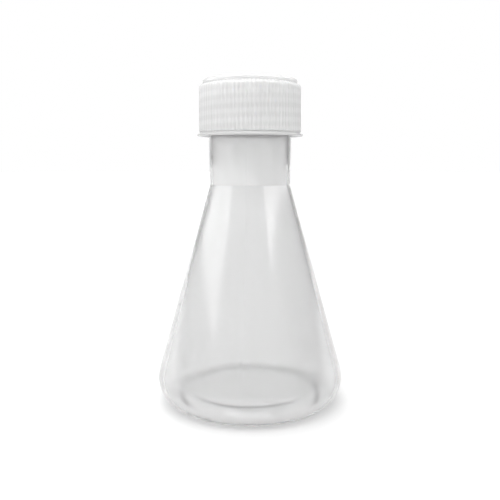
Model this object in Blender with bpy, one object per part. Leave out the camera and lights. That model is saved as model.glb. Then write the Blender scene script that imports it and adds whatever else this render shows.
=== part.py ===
# A plastic Erlenmeyer flask with a ribbed screw cap and the sealing disc inside the cap.
# Metres, +Z up. The origin is the centre of the flask's foot, on the surface it stands on.
from math import acos, atan2, cos, pi, sin, tau

import bmesh
import bpy

# Flask body
BASE_RADIUS = 0.0435  # widest part of the body
SHOULDER_HEIGHT = 0.1017  # where the cone meets the neck
BODY_WALL = 0.0015
HEEL_WIDTH = 0.0083  # from the widest part in to the foot ring
HEEL_HEIGHT = 0.0115
FOOT_RING_WIDTH = 0.0018
PUSH_UP_HEIGHT = 0.0045  # how far the underside is raised inside the foot ring
PUSH_UP_SLOPE = 0.0022  # how far the push-up's side leans in
PUSH_UP_DOME = 0.0005
FLOOR_THICKNESS = 0.0015

# Neck
NECK_RADIUS = 0.0188  # at the lip
NECK_TAPER = 0.0003  # how much narrower the neck's foot is
NECK_LENGTH = 0.0431
FINISH_WALL = 0.0022  # the neck's upper, thicker wall
FINISH_LENGTH = 0.0318  # from the lip down to the step inside the neck
LIP_CHAMFER = 0.0004

# Screw thread, right-handed
THREAD_PITCH = 0.004
THREAD_DEPTH = 0.0014
THREAD_ROOT_WIDTH = 0.0014
THREAD_CREST_WIDTH = 0.0008
THREAD_SINK = 0.0004  # how far a ridge's root reaches into its wall
THREAD_RUN_OUT = 0.25  # turns over which a ridge's end fades away
NECK_THREAD_LENGTH = 0.014
NECK_THREAD_LAND = 0.002  # plain neck between the lip and the thread
CAP_THREAD_DEPTH = 0.0013
CAP_THREAD_LENGTH = 0.012
CAP_THREAD_LAND = 0.003  # plain bore between the cap's mouth and its thread

# Screw cap
CAP_HEIGHT = 0.0251
CAP_WALL = 0.0016  # between the bore and the bottom of the ribs
CAP_DRAFT = 0.0002  # how much narrower the skirt is at its top
CAP_TOP_THICKNESS = 0.002
RIB_COUNT = 80
RIB_DEPTH = 0.0005
FLANGE_OVERHANG = 0.0009  # beyond the ribs
FLANGE_THICKNESS = 0.0009  # at its edge
FLANGE_RISE = 0.0004  # from its edge up to the groove
GROOVE_HEIGHT = 0.0005
GROOVE_DEPTH = 0.0002  # below the bottom of the ribs
DISC_TOP_HEIGHT = 0.002  # the raised disc on the cap's top
DISC_TOP_INSET = 0.0016  # from the ribs in to the raised disc
DISC_TOP_CHAMFER = 0.0004
RIM_HEIGHT = 0.001  # the sloping rim between the ribs and the raised disc
MOUTH_CHAMFER = 0.0006

# Sealing disc
SEAL_THICKNESS = 0.0012

# Fits
BORE_CLEARANCE = 0.0007  # cap bore around the neck's thread
SEAL_CLEARANCE = 0.0003  # around the sealing disc on every side

SEGMENTS = 64
HEEL_STEPS = 6
THREAD_STEPS = 40  # per turn

LIP_HEIGHT = SHOULDER_HEIGHT + NECK_LENGTH
BORE_RADIUS = NECK_RADIUS + THREAD_DEPTH + BORE_CLEARANCE
SEAL_BOTTOM = LIP_HEIGHT + SEAL_CLEARANCE
CAP_CEILING = SEAL_BOTTOM + SEAL_THICKNESS + SEAL_CLEARANCE
CAP_TOP = CAP_CEILING + CAP_TOP_THICKNESS
CAP_BOTTOM = CAP_TOP - CAP_HEIGHT
NECK_THREAD_TOP = LIP_HEIGHT - NECK_THREAD_LAND


def plastic(name, colour, roughness):
    material = bpy.data.materials.new(name)
    material.use_nodes = True
    shader = material.node_tree.nodes["Principled BSDF"]
    shader.inputs["Base Color"].default_value = (*colour, 1)
    shader.inputs["Roughness"].default_value = roughness
    shader.inputs["Metallic"].default_value = 0
    return material


def place(name, bm, height=0.0):
    """Turns a closed bmesh into a named object whose origin lies on the flask's axis."""
    bmesh.ops.remove_doubles(bm, verts=bm.verts, dist=1e-6)
    bmesh.ops.recalc_face_normals(bm, faces=bm.faces)
    mesh = bpy.data.meshes.new(name)
    bm.to_mesh(mesh)
    bm.free()
    mesh.shade_smooth()
    mesh.set_sharp_from_angle(angle=pi / 6)
    piece = bpy.data.objects.new(name, mesh)
    piece.location.z = height
    bpy.context.collection.objects.link(piece)
    return piece


def turned(name, outline, height=0.0):
    """Spins an outline of (radius, height) points around the axis."""
    bm = bmesh.new()
    points = [bm.verts.new((radius, 0, z)) for radius, z in outline]
    edges = [bm.edges.new(pair) for pair in zip(points, points[1:])]
    if outline[0][0] > 0:
        edges.append(bm.edges.new((points[-1], points[0])))
    bmesh.ops.spin(
        bm, geom=points + edges, axis=(0, 0, 1), cent=(0, 0, 0), angle=tau, steps=SEGMENTS, use_merge=True
    )
    return place(name, bm, height)


def ridge(name, wall, crest, start, length, phase):
    """A helical ridge that stands out from a wall's radius to a crest's radius, with faded ends."""
    turns = length / THREAD_PITCH
    steps = round(turns * THREAD_STEPS)
    outward = 1 if crest > wall else -1
    root = wall - outward * THREAD_SINK
    hidden = wall - outward * THREAD_SINK / 2
    bm = bmesh.new()
    sections = []
    for step in range(steps + 1):
        turn = turns * step / steps
        fade = min(1, turn / THREAD_RUN_OUT, (turns - turn) / THREAD_RUN_OUT)
        top = hidden + (crest - hidden) * fade
        angle = phase + tau * turn
        middle = start + THREAD_PITCH * turn
        corners = (
            (root, -THREAD_ROOT_WIDTH / 2),
            (top, -THREAD_CREST_WIDTH / 2),
            (top, THREAD_CREST_WIDTH / 2),
            (root, THREAD_ROOT_WIDTH / 2),
        )
        sections.append([bm.verts.new((r * cos(angle), r * sin(angle), middle + z)) for r, z in corners])
    for near, far in zip(sections, sections[1:]):
        for corner in range(4):
            after = (corner + 1) % 4
            bm.faces.new((near[corner], near[after], far[after], far[corner]))
    bm.faces.new(sections[0])
    bm.faces.new(sections[-1])
    return tool(place(name, bm))


def tool(piece):
    """Marks a shape that only cuts or joins another one."""
    piece.hide_render = True
    piece.display_type = "WIRE"
    return piece


def combine(piece, other, operation):
    modifier = piece.modifiers.new(other.name, "BOOLEAN")
    modifier.operation = operation
    modifier.object = other
    modifier.solver = "EXACT"


def heel(width, height, centre, tip):
    """Points along the heel's quarter ellipse, from the foot to where a line from tip touches it."""
    across = (tip[0] - centre[0]) / width
    up = (tip[1] - centre[1]) / height
    last = atan2(up, across) - acos(1 / (across**2 + up**2) ** 0.5)
    angles = [-pi / 2 + (last + pi / 2) * step / HEEL_STEPS for step in range(HEEL_STEPS + 1)]
    return [(centre[0] + width * cos(angle), centre[1] + height * sin(angle)) for angle in angles]


def flask_outline():
    foot_radius = BASE_RADIUS - HEEL_WIDTH
    push_up_radius = foot_radius - FOOT_RING_WIDTH
    centre = (foot_radius, HEEL_HEIGHT)
    neck_foot = NECK_RADIUS - NECK_TAPER
    step_height = LIP_HEIGHT - FINISH_LENGTH
    bore = NECK_RADIUS - FINISH_WALL
    underside = [
        (0, PUSH_UP_HEIGHT + PUSH_UP_DOME),
        (push_up_radius - PUSH_UP_SLOPE, PUSH_UP_HEIGHT),
        (push_up_radius - PUSH_UP_SLOPE / 3, PUSH_UP_HEIGHT * 3 / 4),
        (push_up_radius, 0),
    ]
    outside = heel(HEEL_WIDTH, HEEL_HEIGHT, centre, (neck_foot, SHOULDER_HEIGHT))
    neck_outside = [
        (neck_foot, SHOULDER_HEIGHT),
        (NECK_RADIUS, LIP_HEIGHT - LIP_CHAMFER),
        (NECK_RADIUS - LIP_CHAMFER, LIP_HEIGHT),
    ]
    neck_inside = [
        (bore + LIP_CHAMFER, LIP_HEIGHT),
        (bore, LIP_HEIGHT - LIP_CHAMFER),
        (bore, step_height),
        (neck_foot - BODY_WALL, step_height - FINISH_WALL),
        (neck_foot - BODY_WALL, SHOULDER_HEIGHT),
    ]
    inside = heel(HEEL_WIDTH - BODY_WALL, HEEL_HEIGHT - BODY_WALL, centre, neck_inside[-1])
    floor = [
        (push_up_radius + BODY_WALL * 3 / 4, FLOOR_THICKNESS),
        (push_up_radius - PUSH_UP_SLOPE / 3 + BODY_WALL * 3 / 4, PUSH_UP_HEIGHT * 3 / 4 + FLOOR_THICKNESS / 2),
        (push_up_radius - PUSH_UP_SLOPE + BODY_WALL / 2, PUSH_UP_HEIGHT + FLOOR_THICKNESS),
        (0, PUSH_UP_HEIGHT + PUSH_UP_DOME + FLOOR_THICKNESS),
    ]
    return underside + outside + neck_outside + neck_inside + inside[::-1] + floor


def make_flask_body():
    body = turned("flask_body", flask_outline())
    thread = ridge(
        "neck_thread",
        wall=NECK_RADIUS,
        crest=NECK_RADIUS + THREAD_DEPTH,
        start=NECK_THREAD_TOP - NECK_THREAD_LENGTH,
        length=NECK_THREAD_LENGTH,
        phase=0,
    )
    combine(body, thread, "UNION")
    body.data.materials.append(plastic("natural_polypropylene", (0.86, 0.86, 0.86), 0.32))
    return body


def cap_rings():
    """(height, radius at the ribs' crests, radius between the ribs), from the mouth to the top."""
    ribs_low = BORE_RADIUS + CAP_WALL + CAP_DRAFT
    ribs_high = BORE_RADIUS + CAP_WALL
    flange = ribs_low + RIB_DEPTH + FLANGE_OVERHANG
    groove = ribs_low - GROOVE_DEPTH
    raised = ribs_high + RIB_DEPTH - DISC_TOP_INSET
    rim = CAP_TOP - DISC_TOP_HEIGHT
    flange_top = CAP_BOTTOM + FLANGE_THICKNESS
    groove_top = flange_top + FLANGE_RISE + GROOVE_HEIGHT
    return [
        (CAP_BOTTOM, flange, flange),
        (flange_top, flange, flange),
        (flange_top + FLANGE_RISE, groove, groove),
        (groove_top, groove, groove),
        (groove_top, ribs_low + RIB_DEPTH, ribs_low),
        (rim - RIM_HEIGHT, ribs_high + RIB_DEPTH, ribs_high),
        (rim, raised + RIB_DEPTH, raised + RIB_DEPTH / 2),
        (rim, raised, raised),
        (CAP_TOP - DISC_TOP_CHAMFER, raised, raised),
        (CAP_TOP, raised - DISC_TOP_CHAMFER, raised - DISC_TOP_CHAMFER),
    ]


def make_cap_blank():
    bm = bmesh.new()
    points = 2 * RIB_COUNT
    rings = []
    for z, crest, root in cap_rings():
        ring = []
        for point in range(points):
            angle = tau * point / points
            radius = root if point % 2 else crest
            ring.append(bm.verts.new((radius * cos(angle), radius * sin(angle), z - CAP_BOTTOM)))
        rings.append(ring)
    for low, high in zip(rings, rings[1:]):
        for point in range(points):
            after = (point + 1) % points
            bm.faces.new((low[point], low[after], high[after], high[point]))
    bm.faces.new(rings[0])
    bm.faces.new(rings[-1])
    return place("screw_cap", bm, CAP_BOTTOM)


def make_screw_cap():
    cap = make_cap_blank()
    past_mouth = CAP_BOTTOM - MOUTH_CHAMFER
    bore = [
        (0, past_mouth),
        (BORE_RADIUS + 2 * MOUTH_CHAMFER, past_mouth),
        (BORE_RADIUS, CAP_BOTTOM + MOUTH_CHAMFER),
        (BORE_RADIUS, CAP_CEILING),
        (0, CAP_CEILING),
    ]
    combine(cap, tool(turned("cap_bore", bore)), "DIFFERENCE")
    start = CAP_BOTTOM + CAP_THREAD_LAND
    neck_start = NECK_THREAD_TOP - NECK_THREAD_LENGTH
    thread = ridge(
        "cap_thread",
        wall=BORE_RADIUS,
        crest=BORE_RADIUS - CAP_THREAD_DEPTH,
        start=start,
        length=CAP_THREAD_LENGTH,
        phase=tau * (start + THREAD_PITCH / 2 - neck_start) / THREAD_PITCH,
    )
    combine(cap, thread, "UNION")
    cap.data.materials.append(plastic("cap_polypropylene", (0.9, 0.9, 0.9), 0.38))
    return cap


def make_sealing_disc():
    radius = BORE_RADIUS - SEAL_CLEARANCE
    outline = [(0, 0), (radius, 0), (radius, SEAL_THICKNESS), (0, SEAL_THICKNESS)]
    disc = turned("sealing_disc", outline, SEAL_BOTTOM)
    disc.data.materials.append(plastic("foamed_polyethylene", (0.93, 0.93, 0.92), 0.55))
    return disc


for old in list(bpy.data.objects):
    bpy.data.objects.remove(old)
make_flask_body()
make_screw_cap()
make_sealing_disc()
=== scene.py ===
import math

import bmesh
import bpy
from mathutils import Matrix, Vector


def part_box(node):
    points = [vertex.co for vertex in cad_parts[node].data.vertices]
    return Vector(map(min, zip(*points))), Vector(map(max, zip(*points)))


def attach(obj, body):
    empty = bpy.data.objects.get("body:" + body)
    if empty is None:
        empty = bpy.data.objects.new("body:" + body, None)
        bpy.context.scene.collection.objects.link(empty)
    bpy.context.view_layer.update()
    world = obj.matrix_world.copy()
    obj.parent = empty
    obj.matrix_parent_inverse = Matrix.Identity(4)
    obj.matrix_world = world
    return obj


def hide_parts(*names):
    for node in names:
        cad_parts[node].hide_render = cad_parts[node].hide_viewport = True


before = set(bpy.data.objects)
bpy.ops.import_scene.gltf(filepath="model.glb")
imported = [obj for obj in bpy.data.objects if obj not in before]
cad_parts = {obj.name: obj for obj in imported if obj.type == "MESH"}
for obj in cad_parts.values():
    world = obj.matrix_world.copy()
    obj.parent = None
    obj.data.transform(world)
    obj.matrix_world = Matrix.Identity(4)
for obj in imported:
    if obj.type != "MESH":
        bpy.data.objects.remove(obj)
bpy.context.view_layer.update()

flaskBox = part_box("flask_body")
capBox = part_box("screw_cap")
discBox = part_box("sealing_disc")
print("frame loaded:", len(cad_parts), "nodes")


# Small helpers for node trees

def maths(tree, operation, *values):
    node = tree.nodes.new("ShaderNodeMath")
    node.operation = operation
    for socket, value in zip(node.inputs, values):
        if isinstance(value, bpy.types.NodeSocket):
            tree.links.new(value, socket)
        else:
            socket.default_value = value
    return node.outputs[0]


def mapped(tree, value, fromLow, fromHigh, toLow=0.0, toHigh=1.0, smooth=False):
    node = tree.nodes.new("ShaderNodeMapRange")
    node.interpolation_type = "SMOOTHSTEP" if smooth else "LINEAR"
    names = ("Value", "From Min", "From Max", "To Min", "To Max")
    for name, given in zip(names, (value, fromLow, fromHigh, toLow, toHigh)):
        if isinstance(given, bpy.types.NodeSocket):
            tree.links.new(given, node.inputs[name])
        else:
            node.inputs[name].default_value = given
    return node.outputs["Result"]


def separated(tree, vector):
    node = tree.nodes.new("ShaderNodeSeparateXYZ")
    tree.links.new(vector, node.inputs[0])
    return node.outputs


def addInputs(tree, inputs):
    for name, kind, value in inputs:
        socket = tree.interface.new_socket(name, in_out="INPUT", socket_type=kind)
        if value is not None:
            socket.default_value = value
    return tree.nodes.new("NodeGroupInput").outputs


# Finishes

skinGrain = {  # stretch along each axis and noise detail of the marks in moulded plastic
    "grain": ((1, 1, 1), 3.0),
    "wave": ((1, 1, 0.35), 1.0),
    "drawn": ((1, 1, 0.03), 2.0),
    "cloud": ((1, 1, 1), 4.0),
    "waveShare": 0.9,  # of the height, against the grain
    "bumpDistance": 0.0001,
}


def newMaterial(name):
    material = bpy.data.materials.new(name)
    material.use_nodes = True
    material.node_tree.nodes.clear()
    return material, material.node_tree


def buildMouldedSkin(g):
    tree = bpy.data.node_groups.new("mouldedSkin", "ShaderNodeTree")
    given = addInputs(tree, (
        ("Place", "NodeSocketVector", None),
        ("Grain Scale", "NodeSocketFloat", 900.0),
        ("Wave Scale", "NodeSocketFloat", 60.0),
        ("Roughness", "NodeSocketFloat", 0.2),
        ("Spread", "NodeSocketFloat", 0.06),
    ))
    for name in ("Roughness", "Height", "Cloud"):
        tree.interface.new_socket(name, in_out="OUTPUT", socket_type="NodeSocketFloat")
    out = tree.nodes.new("NodeGroupOutput").inputs

    def noise(mark, scale):
        stretch, detail = g[mark]
        spread = tree.nodes.new("ShaderNodeMapping")
        spread.inputs["Scale"].default_value = stretch
        tree.links.new(given["Place"], spread.inputs["Vector"])
        node = tree.nodes.new("ShaderNodeTexNoise")
        node.inputs["Detail"].default_value = detail
        tree.links.new(spread.outputs[0], node.inputs["Vector"])
        tree.links.new(given[scale], node.inputs["Scale"])
        return node.outputs["Fac"]

    grain = noise("grain", "Grain Scale")
    wave = noise("wave", "Wave Scale")
    drawn = noise("drawn", "Grain Scale")
    cloud = noise("cloud", "Wave Scale")
    spread = maths(tree, "MULTIPLY", maths(tree, "SUBTRACT", drawn, 0.5), given["Spread"])
    tree.links.new(maths(tree, "ADD", given["Roughness"], spread), out["Roughness"])
    waves = maths(tree, "MULTIPLY", wave, g["waveShare"])
    grains = maths(tree, "MULTIPLY", grain, 1 - g["waveShare"])
    tree.links.new(maths(tree, "ADD", waves, grains), out["Height"])
    tree.links.new(cloud, out["Cloud"])
    return tree


# Painted shade in bands that follow the thread's helix.
def buildThreadShade(s):
    tree = bpy.data.node_groups.new("threadShade", "ShaderNodeTree")
    given = addInputs(tree, (
        ("Place", "NodeSocketVector", None),
        ("Start", "NodeSocketFloat", 0.0),
        ("Pitch", "NodeSocketFloat", 0.004),
        ("Phase", "NodeSocketFloat", 0.0),
    ))
    tree.interface.new_socket("Shade", in_out="OUTPUT", socket_type="NodeSocketFloat")
    parts = separated(tree, given["Place"])
    around = maths(tree, "DIVIDE", maths(tree, "ARCTAN2", parts["Y"], parts["X"]), math.tau)
    climbed = maths(tree, "DIVIDE", maths(tree, "SUBTRACT", parts["Z"], given["Start"]), given["Pitch"])
    gap = maths(tree, "SUBTRACT", climbed, maths(tree, "SUBTRACT", around, given["Phase"]))
    away = maths(tree, "ABSOLUTE", maths(tree, "SUBTRACT", gap, maths(tree, "ROUND", gap)))
    shade = mapped(tree, away, *s["bandEdges"], smooth=True)
    tree.links.new(shade, tree.nodes.new("NodeGroupOutput").inputs["Shade"])
    return tree


def mixed(tree, blend, factor, first, second):
    node = tree.nodes.new("ShaderNodeMix")
    node.data_type = "RGBA"
    node.blend_type = blend
    for name, given in (("Factor", factor), ("A", first), ("B", second)):
        if isinstance(given, bpy.types.NodeSocket):
            tree.links.new(given, node.inputs[name])
        else:
            node.inputs[name].default_value = given
    return node.outputs["Result"]


def grey(value):
    return value, value, value, 1


def buildPlastic(name, skin, look, threads=None):
    material, tree = newMaterial(name)
    nodes, link = tree.nodes, tree.links.new
    place = nodes.new("ShaderNodeTexCoord").outputs["Object"]
    surface = nodes.new("ShaderNodeGroup")
    surface.node_tree = skin
    link(place, surface.inputs["Place"])
    for key in ("Grain Scale", "Wave Scale", "Roughness", "Spread"):
        surface.inputs[key].default_value = look[key]
    colour = mixed(tree, "MIX", surface.outputs["Cloud"], look["pale"], look["deep"])
    parts = separated(tree, place)
    # The foot's tone is painted light on the flask's base and painted shade on the cap's flange.
    if "foot" in look:
        abovePaintedFoot = mapped(tree, parts["Z"], *look["footHeights"], smooth=True)
        colour = mixed(tree, "MIX", abovePaintedFoot, grey(look["foot"]), colour)
    # Painted shade: darker bands between the threads.
    if threads:
        band = nodes.new("ShaderNodeGroup")
        band.node_tree = buildThreadShade(look)
        link(place, band.inputs["Place"])
        for key, value in threads.items():
            band.inputs[key].default_value = value
        paintedThreadBands = mapped(tree, band.outputs["Shade"], 0.0, 1.0, 1.0, look["paintedThreadShade"])
        # Painted shade: the skirt darker towards its foot.
        skirt = mapped(tree, parts["Z"], *look["paintedSkirtShadeHeights"], look["skirt"], 1.0, smooth=True)
        colour = mixed(tree, "MULTIPLY", 1.0, colour, maths(tree, "MULTIPLY", paintedThreadBands, skirt))
    bump = nodes.new("ShaderNodeBump")
    bump.inputs["Strength"].default_value = look["bump"]
    bump.inputs["Distance"].default_value = skinGrain["bumpDistance"]
    link(surface.outputs["Height"], bump.inputs["Height"])
    shader = nodes.new("ShaderNodeBsdfPrincipled")
    link(colour, shader.inputs["Base Color"])
    link(surface.outputs["Roughness"], shader.inputs["Roughness"])
    link(bump.outputs[0], shader.inputs["Normal"])
    for key, value in look["shader"].items():
        shader.inputs[key].default_value = value
    link(shader.outputs[0], nodes.new("ShaderNodeOutputMaterial").inputs["Surface"])
    return material


# Outlines run from one end on the axis to the other.
# Each point is (radius, height, threadPart, ribPart, seamPart), and the parts say how much of each it carries.

outlineSteps = {
    "fillet": 5,
    "hold": 0.00015,  # short straight run at each end of a fillet, so that flats stay flat
    "holdShare": 0.04,
    "filletShare": 0.45,  # most of a straight run that one fillet may take
    "heel": 24,
    "threadRow": 0.0002,
    "threadMargin": 0.001,  # plain rows past each end of a thread
}


def rounded(corners):
    steps, hold = outlineSteps["fillet"], outlineSteps["hold"]
    most, holdShare = outlineSteps["filletShare"], outlineSteps["holdShare"]
    points = []
    for index, (radius, height, fillet, *parts) in enumerate(corners):
        parts = (parts + [0, 0, 0])[:3]
        if not fillet or index in (0, len(corners) - 1):
            points.append((radius, height, *parts))
            continue
        corner = Vector((radius, height))
        before = Vector(corners[index - 1][:2]) - corner
        after = Vector(corners[index + 1][:2]) - corner
        toBefore, toAfter = before.normalized(), after.normalized()
        half = before.angle(after) / 2
        reach = min(fillet / math.tan(half), before.length * most, after.length * most)
        arcRadius = reach * math.tan(half)
        middle = (toBefore + toAfter).normalized() * (arcRadius / math.sin(half))
        sweep = math.pi - 2 * half
        fromMiddle, toMiddle = toBefore * reach - middle, toAfter * reach - middle
        heldStart = toBefore * (reach + min(hold, before.length * holdShare))
        heldEnd = toAfter * (reach + min(hold, after.length * holdShare))
        points.append((*(corner + heldStart), *parts))
        for step in range(steps + 1):
            share = step / steps
            arc = fromMiddle * math.sin((1 - share) * sweep) + toMiddle * math.sin(share * sweep)
            points.append((*(corner + middle + arc / math.sin(sweep)), *parts))
        points.append((*(corner + heldEnd), *parts))
    return points


def threadRows(start, end, radius):
    count = max(2, math.ceil(abs(end - start) / outlineSteps["threadRow"]))
    return [(radius, start + (end - start) * step / count, 1, 0, 0) for step in range(count + 1)]


def heelArc(width, height, centre, tip, first=-90):
    steps = outlineSteps["heel"]
    across = (tip[0] - centre[0]) / width
    up = (tip[1] - centre[1]) / height
    last = math.atan2(up, across) - math.acos(1 / math.hypot(across, up))
    first = math.radians(first)
    angles = [first + (last - first) * step / steps for step in range(steps + 1)]
    return [(centre[0] + width * math.cos(a), centre[1] + height * math.sin(a), 0, 0, 0) for a in angles]


# The tree that turns an outline round the axis and raises the thread, the ribs and the parting lines on it

turningDetail = {
    "ribSharpness": 1.3,  # 1 makes the ribs a plain wave
    "joinDistance": 1e-6,
}


def buildTurningTree(d):
    tree = bpy.data.node_groups.new("turnedMoulding", "GeometryNodeTree")
    given = addInputs(tree, (
        ("Outline", "NodeSocketGeometry", None),
        ("Segments", "NodeSocketInt", 192),
        ("Thread Start", "NodeSocketFloat", 0.0),
        ("Thread Pitch", "NodeSocketFloat", 0.004),
        ("Thread Turns", "NodeSocketFloat", 3.0),
        ("Thread Phase", "NodeSocketFloat", 0.0),
        ("Thread Height", "NodeSocketFloat", 0.0),
        ("Thread Root", "NodeSocketFloat", 0.0016),
        ("Thread Crest", "NodeSocketFloat", 0.0006),
        ("Run Out", "NodeSocketFloat", 0.25),
        ("Ribs", "NodeSocketInt", 0),
        ("Rib Depth", "NodeSocketFloat", 0.0),
        ("Seam Height", "NodeSocketFloat", 0.0),
        ("Seam Width", "NodeSocketFloat", 0.001),
        ("Seam Turn", "NodeSocketFloat", 0.0),
        ("Finish", "NodeSocketMaterial", None),
    ))
    tree.interface.new_socket("Moulding", in_out="OUTPUT", socket_type="NodeSocketGeometry")
    link = tree.links.new

    count = tree.nodes.new("GeometryNodeAttributeDomainSize")
    link(given["Outline"], count.inputs["Geometry"])
    columns = maths(tree, "ADD", given["Segments"], 1)
    grid = tree.nodes.new("GeometryNodeMeshGrid")
    link(count.outputs["Point Count"], grid.inputs["Vertices X"])
    link(columns, grid.inputs["Vertices Y"])
    index = tree.nodes.new("GeometryNodeInputIndex").outputs[0]
    row = maths(tree, "FLOOR", maths(tree, "DIVIDE", maths(tree, "ADD", index, 0.5), columns))
    column = maths(tree, "SUBTRACT", index, maths(tree, "MULTIPLY", row, columns))
    around = maths(tree, "DIVIDE", column, given["Segments"])

    def sampled(kind, value):
        node = tree.nodes.new("GeometryNodeSampleIndex")
        node.data_type = kind
        link(given["Outline"], node.inputs["Geometry"])
        link(value, node.inputs["Value"])
        link(row, node.inputs["Index"])
        return node.outputs[0]

    def attribute(name):
        node = tree.nodes.new("GeometryNodeInputNamedAttribute")
        node.data_type = "FLOAT"
        node.inputs["Name"].default_value = name
        return sampled("FLOAT", node.outputs["Attribute"])

    place = separated(tree, sampled("FLOAT_VECTOR", tree.nodes.new("GeometryNodeInputPosition").outputs[0]))
    radius, height = place["X"], place["Z"]

    # thread: distance along the axis to the nearest turn of the helix
    climbed = maths(tree, "DIVIDE", maths(tree, "SUBTRACT", height, given["Thread Start"]), given["Thread Pitch"])
    turnsFromStart = maths(tree, "SUBTRACT", around, given["Thread Phase"])
    gap = maths(tree, "SUBTRACT", climbed, turnsFromStart)
    nearest = maths(tree, "ROUND", gap)
    away = maths(tree, "ABSOLUTE", maths(tree, "SUBTRACT", gap, nearest))
    away = maths(tree, "MULTIPLY", away, given["Thread Pitch"])
    along = maths(tree, "ADD", nearest, turnsFromStart)
    toEnd = maths(tree, "MINIMUM", along, maths(tree, "SUBTRACT", given["Thread Turns"], along))
    fade = mapped(tree, toEnd, 0.0, given["Run Out"], smooth=True)
    halfRoot = maths(tree, "MULTIPLY", given["Thread Root"], 0.5)
    halfCrest = maths(tree, "MULTIPLY", given["Thread Crest"], 0.5)
    crest = mapped(tree, away, halfRoot, halfCrest, smooth=True)
    ridge = maths(tree, "MULTIPLY", maths(tree, "MULTIPLY", crest, fade), attribute("threadPart"))
    thread = maths(tree, "MULTIPLY", ridge, given["Thread Height"])

    # ribs: valleys cut between round crests
    wave = maths(tree, "COSINE", maths(tree, "MULTIPLY", maths(tree, "MULTIPLY", around, given["Ribs"]), math.tau))
    valley = maths(tree, "POWER", maths(tree, "MULTIPLY_ADD", wave, -0.5, 0.5), d["ribSharpness"])
    cut = maths(tree, "MULTIPLY", maths(tree, "MULTIPLY", valley, given["Rib Depth"]), attribute("ribPart"))

    # seam: two fine parting lines, half a turn apart
    fromSeam = maths(tree, "MULTIPLY", maths(tree, "SUBTRACT", around, given["Seam Turn"]), 2.0)
    offSeam = maths(tree, "ABSOLUTE", maths(tree, "SUBTRACT", fromSeam, maths(tree, "ROUND", fromSeam)))
    seamGap = maths(tree, "MULTIPLY", maths(tree, "MULTIPLY", offSeam, math.pi), radius)
    halfSeam = maths(tree, "MULTIPLY", given["Seam Width"], 0.5)
    seamShape = mapped(tree, seamGap, 0.0, halfSeam, 1.0, 0.0, smooth=True)
    seam = maths(tree, "MULTIPLY", maths(tree, "MULTIPLY", seamShape, given["Seam Height"]), attribute("seamPart"))

    raised = maths(tree, "ADD", maths(tree, "ADD", radius, thread), seam)
    reach = maths(tree, "SUBTRACT", raised, cut)
    angle = maths(tree, "MULTIPLY", around, math.tau)
    joined = tree.nodes.new("ShaderNodeCombineXYZ")
    link(maths(tree, "MULTIPLY", reach, maths(tree, "COSINE", angle)), joined.inputs["X"])
    link(maths(tree, "MULTIPLY", reach, maths(tree, "SINE", angle)), joined.inputs["Y"])
    link(height, joined.inputs["Z"])

    move = tree.nodes.new("GeometryNodeSetPosition")
    link(grid.outputs["Mesh"], move.inputs["Geometry"])
    link(joined.outputs[0], move.inputs["Position"])
    close = tree.nodes.new("GeometryNodeMergeByDistance")
    close.inputs["Distance"].default_value = d["joinDistance"]
    link(move.outputs[0], close.inputs["Geometry"])
    smooth = tree.nodes.new("GeometryNodeSetShadeSmooth")
    link(close.outputs[0], smooth.inputs["Geometry"])
    real = tree.nodes.new("GeometryNodeRealizeInstances")
    link(smooth.outputs[0], real.inputs["Geometry"])
    finish = tree.nodes.new("GeometryNodeSetMaterial")
    link(real.outputs[0], finish.inputs["Geometry"])
    link(given["Finish"], finish.inputs["Material"])
    link(finish.outputs[0], tree.nodes.new("NodeGroupOutput").inputs["Moulding"])
    return tree


def turn(name, outline, tree, values):
    mesh = bpy.data.meshes.new(name)
    edges = [(index, index + 1) for index in range(len(outline) - 1)]
    mesh.from_pydata([(radius, 0, height) for radius, height, *_ in outline], edges, [])
    for column, part in enumerate(("threadPart", "ribPart", "seamPart")):
        layer = mesh.attributes.new(part, "FLOAT", "POINT")
        layer.data.foreach_set("value", [point[2 + column] for point in outline])
    piece = bpy.data.objects.new(name, mesh)
    bpy.context.collection.objects.link(piece)
    modifier = piece.modifiers.new("turning", "NODES")
    modifier.node_group = tree
    for item in tree.interface.items_tree:
        if item.in_out == "INPUT" and item.name in values:
            modifier[item.identifier] = values[item.name]
    graph = bpy.context.evaluated_depsgraph_get()
    made = bpy.data.meshes.new_from_object(piece.evaluated_get(graph))
    piece.modifiers.remove(modifier)
    piece.data = made
    bm = bmesh.new()
    bm.from_mesh(made)
    bmesh.ops.recalc_face_normals(bm, faces=bm.faces)
    bm.to_mesh(made)
    closed = all(edge.is_manifold for edge in bm.edges)
    volume = bm.calc_volume(signed=True) * 1e6
    bm.free()
    print(f"{name} has {len(made.polygons)} faces, closed {closed}, volume {volume:.2f} cm3")
    return piece


def placePiece(piece, body, node):
    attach(piece, body)
    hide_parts(node)


# The screw thread that the flask and the cap share

threadSizes = {
    "pitch": 0.004,
    "rootWidth": 0.0016,
    "crestWidth": 0.0006,
    "runOut": 0.25,  # turns over which each end fades
    "neckHeight": 0.0014,
    "neckLength": 0.014,
    "neckLand": 0.002,  # plain lip above the thread
    "capHeight": 0.0013,
    "capLength": 0.012,
    "capLand": 0.003,  # plain mouth below the thread
}
neckStart = flaskBox[1][2] - threadSizes["neckLand"] - threadSizes["neckLength"]
capStart = capBox[0][2] + threadSizes["capLand"]
capPhase = (capStart + threadSizes["pitch"] / 2 - neckStart) / threadSizes["pitch"]


def threadInputs(t, start, length, height, phase=0.0):
    return {
        "Thread Start": start,
        "Thread Pitch": t["pitch"],
        "Thread Turns": length / t["pitch"],
        "Thread Phase": phase,
        "Thread Height": height,
        "Thread Root": t["rootWidth"],
        "Thread Crest": t["crestWidth"],
        "Run Out": t["runOut"],
    }


# Flask

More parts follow.
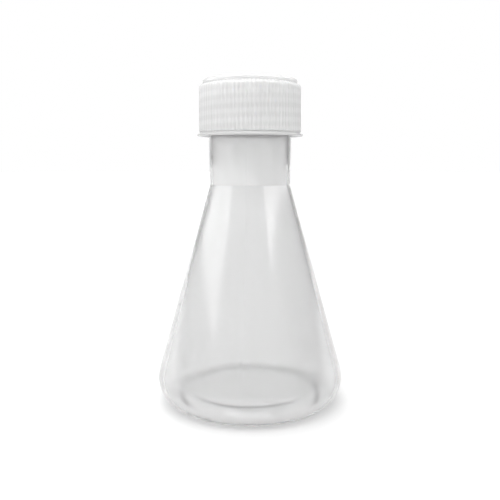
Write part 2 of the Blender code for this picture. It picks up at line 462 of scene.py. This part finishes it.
flaskMoulding = {
    "wall": 0.0015,
    "heelWidth": 0.0083,
    "heelHeight": 0.0115,
    "innerHeelStart": -60,  # degrees, where the inner round of the heel begins
    "footRing": 0.0018,  # width of the flat ring that it stands on
    "pushUp": 0.0045,
    "pushUpLean": 0.0022,
    "pushUpDome": 0.0005,
    "innerLean": 0.0026,  # the slope is gentler inside, where the melt has filled the corner
    "innerFoot": 0.00225,  # height of the inner corner above the ground
    "floorThickness": 0.0015,
    "shoulderHeight": 0.1017,
    "neckRadius": 0.0188,
    "neckTaper": 0.0003,
    "neckWall": 0.0013,
    "finishWall": 0.0022,
    "finishLength": 0.025,
    "finishStep": 0.009,  # height over which the thick upper wall thins
    "underFillet": 0.004,
    "standingFillet": 0.001,
    "shoulderFillet": 0.0012,
    "lipFillet": 0.0006,
    "stepFillet": 0.006,
    "innerFootFillet": 0.004,
    "innerFloorFillet": 0.009,
    "seamHeight": 0.00008,
    "seamWidth": 0.0011,
    "seamTurn": 0.7372,  # parting line, in turns from the right-hand side
    "seamStart": 0.05,  # share of the cone below the seam's full height
    "seamBelowThread": 0.004,
    "segments": 384,
    "finish": {
        "Grain Scale": 700.0,
        "Wave Scale": 45.0,
        "Roughness": 0.1,
        "Spread": 0.04,
        "pale": grey(0.965),
        "deep": grey(0.94),
        # painted light: the base of the flask is paler than the rest
        "foot": 0.99,
        "footHeights": (0.003, 0.012),
        "bump": 0.25,
        "shader": {
            "IOR": 1.49,
            "Transmission Weight": 0.85,
            "Subsurface Weight": 1.0,
            "Subsurface Radius": (1.0, 1.0, 1.0),
            "Subsurface Scale": 0.004,
            "Coat Weight": 1.0,
            "Coat Roughness": 0.02,
        },
    },
}


def flaskOutline(s, t):
    foot = flaskBox[1][0] - s["heelWidth"]
    lip = flaskBox[1][2]
    ring = foot - s["footRing"]
    centre = (foot, s["heelHeight"])
    neck = s["neckRadius"]
    neckFoot = neck - s["neckTaper"]
    bore = neck - s["finishWall"]
    stepHeight = lip - s["finishLength"]
    threadTop = lip - t["neckLand"]
    threadLow = threadTop - t["neckLength"]
    margin = outlineSteps["threadMargin"]
    shoulder = s["shoulderHeight"]
    wall = s["wall"]
    pushUp = s["pushUp"]
    floor = s["floorThickness"]
    outer = heelArc(s["heelWidth"], s["heelHeight"], centre, (neckFoot, shoulder))
    inner = heelArc(
        s["heelWidth"] - wall, s["heelHeight"] - wall, centre, (neckFoot - wall, shoulder), s["innerHeelStart"]
    )
    under = rounded([
        (0, pushUp + s["pushUpDome"], 0),
        (ring - s["pushUpLean"], pushUp, s["underFillet"]),
        (ring, 0, s["standingFillet"]),
        (foot, 0, 0),
    ])[:-1]
    seamed = (0, 0, 1)
    coneFoot = Vector(outer[-1][:2])
    outer[-1] = (*coneFoot, *seamed)
    slopeStart = coneFoot.lerp(Vector((neckFoot, shoulder)), s["seamStart"])
    coneAndNeck = rounded([
        (*slopeStart, 0, *seamed),
        (neckFoot, shoulder, s["shoulderFillet"], *seamed),
        (neck, threadLow - s["seamBelowThread"], 0, *seamed),
    ])
    lipAndBore = rounded([
        (neck, threadTop + margin, 0),
        (neck, lip, s["lipFillet"]),
        (bore, lip, s["lipFillet"]),
        (bore, stepHeight, s["stepFillet"]),
        (neck - s["neckWall"], stepHeight - s["finishStep"], s["stepFillet"]),
        (neckFoot - s["neckWall"], shoulder, s["shoulderFillet"]),
        (*inner[-1][:2], 0),
    ])[1:-1]
    top = rounded([
        (*inner[0][:2], 0),
        (foot, s["innerFoot"], s["innerFootFillet"]),
        (ring - s["innerLean"], pushUp + floor, s["innerFloorFillet"]),
        (0, pushUp + s["pushUpDome"] + floor, 0),
    ])[1:]
    outside = under + outer + coneAndNeck + threadRows(threadLow - margin, threadTop + margin, neck)
    return outside + lipAndBore + inner[::-1] + top


def makeFlask(turning, skin):
    s, t = flaskMoulding, threadSizes
    piece = turn("flask", flaskOutline(s, t), turning, {
        **threadInputs(t, neckStart, t["neckLength"], t["neckHeight"]),
        "Segments": s["segments"],
        "Seam Height": s["seamHeight"],
        "Seam Width": s["seamWidth"],
        "Seam Turn": s["seamTurn"],
        "Finish": buildPlastic("flaskPlastic", skin, s["finish"]),
    })
    placePiece(piece, "flask", "flask_body")


# Cap

capMoulding = {
    "wall": 0.0016,
    "draft": 0.0002,
    "boreRadius": 0.0209,
    "ceiling": 0.002,  # thickness of the cap's top
    "ribs": 80,
    "ribDepth": 0.0005,
    "ribValley": 0.00033,  # what is left of the depth between two rounded ribs
    "flangeOverhang": 0.0009,
    "flangeEdge": 0.0009,
    "flangeRise": 0.0004,
    "flangeFillet": 0.0004,
    "mouthFlare": (0.0012, 0.0008),  # how far the bore opens outwards, and over what height
    "grooveHeight": 0.0005,
    "grooveDepth": 0.00005,
    "grooveFillet": 0.0002,
    "rimHeight": 0.001,
    "rimFillet": 0.0015,
    "innerFillet": 0.0006,
    "topHeight": 0.002,
    "topInset": 0.0016,
    "topFillet": 0.0011,
    "topFoot": 0.0003,  # where the ribs die out against the raised top
    "topFootRibs": 0.6,
    "segments": 480,
    "finish": {
        "Grain Scale": 900.0,
        "Wave Scale": 80.0,
        "Roughness": 0.16,
        "Spread": 0.04,
        "pale": grey(1.0),
        "deep": grey(0.985),
        # painted shade: the flange at the cap's foot is darker than the rest of the cap
        "foot": 0.76,
        "footHeights": (0.1244, 0.1248),
        "bandEdges": (0.1, 0.4),  # of the pitch, from the thread to the middle of the gap
        "paintedThreadShade": 0.93,  # painted shade between the threads, where the flask shows darker through the wall
        # painted shade: the skirt grows darker towards its foot, the top lighter as if lit from above
        "skirt": 0.91,
        "paintedSkirtShadeHeights": (0.137, 0.143),
        "bump": 0.07,
        "shader": {
            "IOR": 1.49,
            "Transmission Weight": 0.31,
            "Subsurface Weight": 1.0,
            "Subsurface Radius": (1.0, 1.0, 1.0),
            "Subsurface Scale": 0.0025,
        },
    },
}


def capOutline(s, t):
    bottom, top = capBox[0][2], capBox[1][2]
    bore = s["boreRadius"]
    ribsHigh = bore + s["wall"] + s["ribDepth"]
    ribsLow = ribsHigh + s["draft"]
    groove = ribsLow - s["ribDepth"] - s["grooveDepth"]
    flange = ribsLow + s["flangeOverhang"]
    flangeTop = bottom + s["flangeEdge"]
    grooveLow = flangeTop + s["flangeRise"]
    grooveHigh = grooveLow + s["grooveHeight"]
    raised = ribsHigh - s["topInset"]
    rim = top - s["topHeight"]
    ceiling = top - s["ceiling"]
    margin = outlineSteps["threadMargin"]
    threadLow = bottom + t["capLand"] - margin
    threadTop = threadLow + t["capLength"] + 2 * margin
    flare, flareHeight = s["mouthFlare"]
    ribbed = (0, 1)
    inside = rounded([
        (0, ceiling, 0),
        (bore, ceiling, s["innerFillet"]),
        (bore, threadTop, 0),
    ])[:-1]
    skirt = rounded([
        (bore, threadLow, 0),
        (bore, bottom + flareHeight, s["innerFillet"]),
        (bore + flare, bottom, s["flangeFillet"]),
        (flange, bottom, s["flangeFillet"]),
        (flange, flangeTop, s["flangeFillet"]),
        (groove, grooveLow, s["grooveFillet"]),
        (groove, grooveHigh, s["grooveFillet"]),
        (ribsLow, grooveHigh, s["grooveFillet"], *ribbed),
        (ribsHigh, rim - s["rimHeight"], s["rimFillet"], *ribbed),
        (raised + s["topFoot"], rim, s["topFoot"], 0, s["topFootRibs"]),
        (raised, rim, s["grooveFillet"]),
        (raised, top, s["topFillet"]),
        (0, top, 0),
    ])[1:]
    return inside + threadRows(threadTop, threadLow, bore) + skirt


def makeCap(turning, skin):
    s, t = capMoulding, threadSizes
    paintedThreadBands = {"Start": capStart, "Pitch": t["pitch"], "Phase": capPhase}
    piece = turn("cap", capOutline(s, t), turning, {
        **threadInputs(t, capStart, t["capLength"], -t["capHeight"], capPhase),
        "Segments": s["segments"],
        "Ribs": s["ribs"],
        "Rib Depth": s["ribValley"],
        "Finish": buildPlastic("capPlastic", skin, s["finish"], paintedThreadBands),
    })
    placePiece(piece, "cap", "screw_cap")


# Sealing disc

discMoulding = {
    "lipMark": 0.0001,  # depth of the ring pressed in by the flask's lip
    "edge": 0.0002,
    "segments": 128,
    "finish": {
        "Grain Scale": 1500.0,
        "Wave Scale": 150.0,
        "Roughness": 0.6,
        "Spread": 0.1,
        "pale": (0.9, 0.9, 0.89, 1),
        "deep": (0.86, 0.86, 0.85, 1),
        "bump": 0.6,
        "shader": {"IOR": 1.45, "Subsurface Weight": 0.3, "Subsurface Scale": 0.002},
    },
}


def discOutline(s):
    low, high = discBox[0][2], discBox[1][2]
    radius = discBox[1][0]
    lip = flaskMoulding["neckRadius"]
    bore = lip - flaskMoulding["finishWall"]
    mark = low + s["lipMark"]
    edge = s["edge"]
    return rounded([
        (0, low, 0),
        (bore - edge, low, edge),
        (bore, mark, edge),
        (lip, mark, edge),
        (lip + edge, low, edge),
        (radius, low, edge),
        (radius, high, edge),
        (0, high, 0),
    ])


def makeDisc(turning, skin):
    s = discMoulding
    piece = turn("disc", discOutline(s), turning, {
        "Segments": s["segments"],
        "Finish": buildPlastic("discFoam", skin, s["finish"]),
    })
    placePiece(piece, "seal", "sealing_disc")


# Camera

view = {
    "distance": 0.2914,  # from the flask's axis
    "height": 0.1126,
    "tiltDown": 8.1,
    "lens": 45.2,
}


def buildCamera(v):
    camera = bpy.data.objects.new("camera", bpy.data.cameras.new("camera"))
    camera.data.lens = v["lens"]
    camera.data.clip_start = 0.01
    camera.location = (0, -v["distance"], v["height"])
    camera.rotation_euler = (math.radians(90 - v["tiltDown"]), 0, 0)
    bpy.context.collection.objects.link(camera)
    bpy.context.scene.camera = camera


# Floor

floorLook = {
    "radius": 6.0,
    "segments": 96,
    "colour": grey(0.4),
    "roughness": 0.9,
    "specular": 0.1,
    "glow": 0.62,
    "farGlow": 0.95,
    "nearEdge": 0.25,
    "farEdge": 1.2,
    # painted light on the floor's left, painted shade on its right
    "leftPaintedLight": 1.15,
    "rightPaintedShade": 0.9,
    "sideReach": 0.15,  # how far out each share is whole
    "mirroredShare": 0.8,  # of the glow that the flask shows, against what the camera sees
    "underGlow": 0.12,  # light that comes down through the flask
    "underEdges": (0.034, 0.037),
    "contactShade": 0.7,  # painted contact shadow: share of the glow that is left close to the foot
    "contactEdges": (0.036, 0.051),
    "contactShift": (0.0015, -0.009, 0.0),  # the shade lies a little to the front
}


def buildFloor(f):
    mesh = bpy.data.meshes.new("floor")
    bm = bmesh.new()
    bmesh.ops.create_circle(bm, cap_ends=True, segments=f["segments"], radius=f["radius"])
    bm.to_mesh(mesh)
    bm.free()
    floor = bpy.data.objects.new("floor", mesh)
    bpy.context.collection.objects.link(floor)
    material, tree = newMaterial("paleFloor")
    nodes, link = tree.nodes, tree.links.new
    shader = nodes.new("ShaderNodeBsdfPrincipled")
    shader.inputs["Base Color"].default_value = f["colour"]
    shader.inputs["Roughness"].default_value = f["roughness"]
    shader.inputs["Specular IOR Level"].default_value = f["specular"]
    shader.inputs["Emission Color"].default_value = grey(1.0)
    place = nodes.new("ShaderNodeTexCoord").outputs["Object"]
    away = nodes.new("ShaderNodeVectorMath")
    away.operation = "LENGTH"
    link(place, away.inputs[0])
    reach = away.outputs["Value"]
    across = separated(tree, place)["X"]
    glow = mapped(tree, reach, f["nearEdge"], f["farEdge"], f["glow"], f["farGlow"], smooth=True)
    # Painted light on the left and painted shade on the right of the floor's glow.
    paintedSideLight = mapped(
        tree, across, -f["sideReach"], f["sideReach"], f["leftPaintedLight"], f["rightPaintedShade"], smooth=True
    )
    cameraRay = nodes.new("ShaderNodeLightPath").outputs["Is Camera Ray"]
    # Painted contact shadow: the glow is lowered round the foot, a little to the front.
    shifted = nodes.new("ShaderNodeVectorMath")
    shifted.operation = "DISTANCE"
    link(place, shifted.inputs[0])
    shifted.inputs[1].default_value = f["contactShift"]
    shade = mapped(tree, shifted.outputs["Value"], *f["contactEdges"], f["contactShade"], 1.0, smooth=True)
    seen = mapped(tree, cameraRay, 0.0, 1.0, f["mirroredShare"], shade)
    under = mapped(tree, reach, *f["underEdges"], f["underGlow"], 0.0)
    wide = maths(tree, "MULTIPLY", maths(tree, "MULTIPLY", glow, paintedSideLight), seen)
    link(maths(tree, "ADD", wide, under), shader.inputs["Emission Strength"])
    link(shader.outputs[0], nodes.new("ShaderNodeOutputMaterial").inputs["Surface"])
    mesh.materials.append(material)


# Softboxes: flat panels whose across and up are measured on each panel from the foot of its distance

softboxAim = (0, 0, 0.09)
softboxes = {
    "leftSoftbox": {
        "azimuth": -80, "rise": 0, "distance": 0.9,
        "across": (-0.7, 0.48), "up": (0.15, 1.2), "radiance": 1.05,
    },
    "rightSoftbox": {
        "azimuth": 68, "rise": 0, "distance": 0.9,
        "across": (-0.5, 1.5), "up": (0.33, 1.2), "radiance": 1.3,
    },
    "topSoftbox": {
        "azimuth": -10, "rise": 72, "distance": 1.1,
        "across": (-0.5, 0.5), "up": (-0.5, 0.5), "radiance": 4.0,
    },
}


def buildSoftbox(name, s):
    light = bpy.data.objects.new(name, bpy.data.lights.new(name, "AREA"))
    width = s["across"][1] - s["across"][0]
    height = s["up"][1] - s["up"][0]
    light.data.shape = "RECTANGLE"
    light.data.size = width
    light.data.size_y = height
    light.data.energy = s["radiance"] * math.pi * width * height
    azimuth, rise = math.radians(s["azimuth"]), math.radians(s["rise"])
    out = Vector((math.sin(azimuth) * math.cos(rise), -math.cos(azimuth) * math.cos(rise), math.sin(rise)))
    across = Vector((math.cos(azimuth), math.sin(azimuth), 0))
    up = out.cross(across)
    middle = across * (sum(s["across"]) / 2) + up * (sum(s["up"]) / 2)
    light.location = Vector(softboxAim) + out * s["distance"] + middle
    light.rotation_euler = Matrix((across, up, out)).transposed().to_euler()
    bpy.context.collection.objects.link(light)


# Room: white to the camera, and shaded for what the flask reflects and passes.
# Directions run from -1 to 1: x to the right, y away from the camera, z up.

roomLight = {
    "backdrop": 1.0,  # what the camera sees
    "behind": 0.98,
    "aside": 0.58,
    "front": 0.66,
    "above": 0.4,
    "right": 0.6,  # share of the light that is left on the right
    "behindRight": 0.95,
    "backdropEdges": (0.75, 0.95),  # y
    "frontEdges": (-0.3, -0.8),  # y
    "sideEdges": (-0.6, 0.6),  # x
    "behindEdges": (-0.35, 0.35),  # x
    "aboveEdges": (0.35, 0.6),  # z
}


def buildWorld(w):
    world = bpy.data.worlds.new("studio")
    bpy.context.scene.world = world
    world.use_nodes = True
    tree = world.node_tree
    tree.nodes.clear()
    nodes, link = tree.nodes, tree.links.new
    way = separated(tree, nodes.new("ShaderNodeTexCoord").outputs["Generated"])

    def shaded(axis, edges, first, second):
        return mapped(tree, way[axis], *w[edges], first, second, smooth=True)

    sides = shaded("X", "sideEdges", w["aside"], w["aside"] * w["right"])
    around = shaded("Y", "frontEdges", sides, w["front"])
    behind = shaded("X", "behindEdges", w["behind"], w["behind"] * w["behindRight"])
    wall = shaded("Y", "backdropEdges", around, behind)
    room = shaded("Z", "aboveEdges", wall, w["above"])
    seen = nodes.new("ShaderNodeLightPath").outputs["Is Camera Ray"]
    strength = maths(tree, "MULTIPLY_ADD", seen, maths(tree, "SUBTRACT", w["backdrop"], room), room)
    background = nodes.new("ShaderNodeBackground")
    background.inputs["Color"].default_value = grey(1.0)
    link(strength, background.inputs["Strength"])
    link(background.outputs[0], nodes.new("ShaderNodeOutputWorld").inputs["Surface"])


bpy.context.scene.view_settings.view_transform = "Standard"
buildCamera(view)
buildFloor(floorLook)
for name, softbox in softboxes.items():
    buildSoftbox(name, softbox)
buildWorld(roomLight)
print("camera, floor and light made")

turning = buildTurningTree(turningDetail)
skin = buildMouldedSkin(skinGrain)
makeFlask(turning, skin)
makeCap(turning, skin)
makeDisc(turning, skin)
print("pieces made and placed")
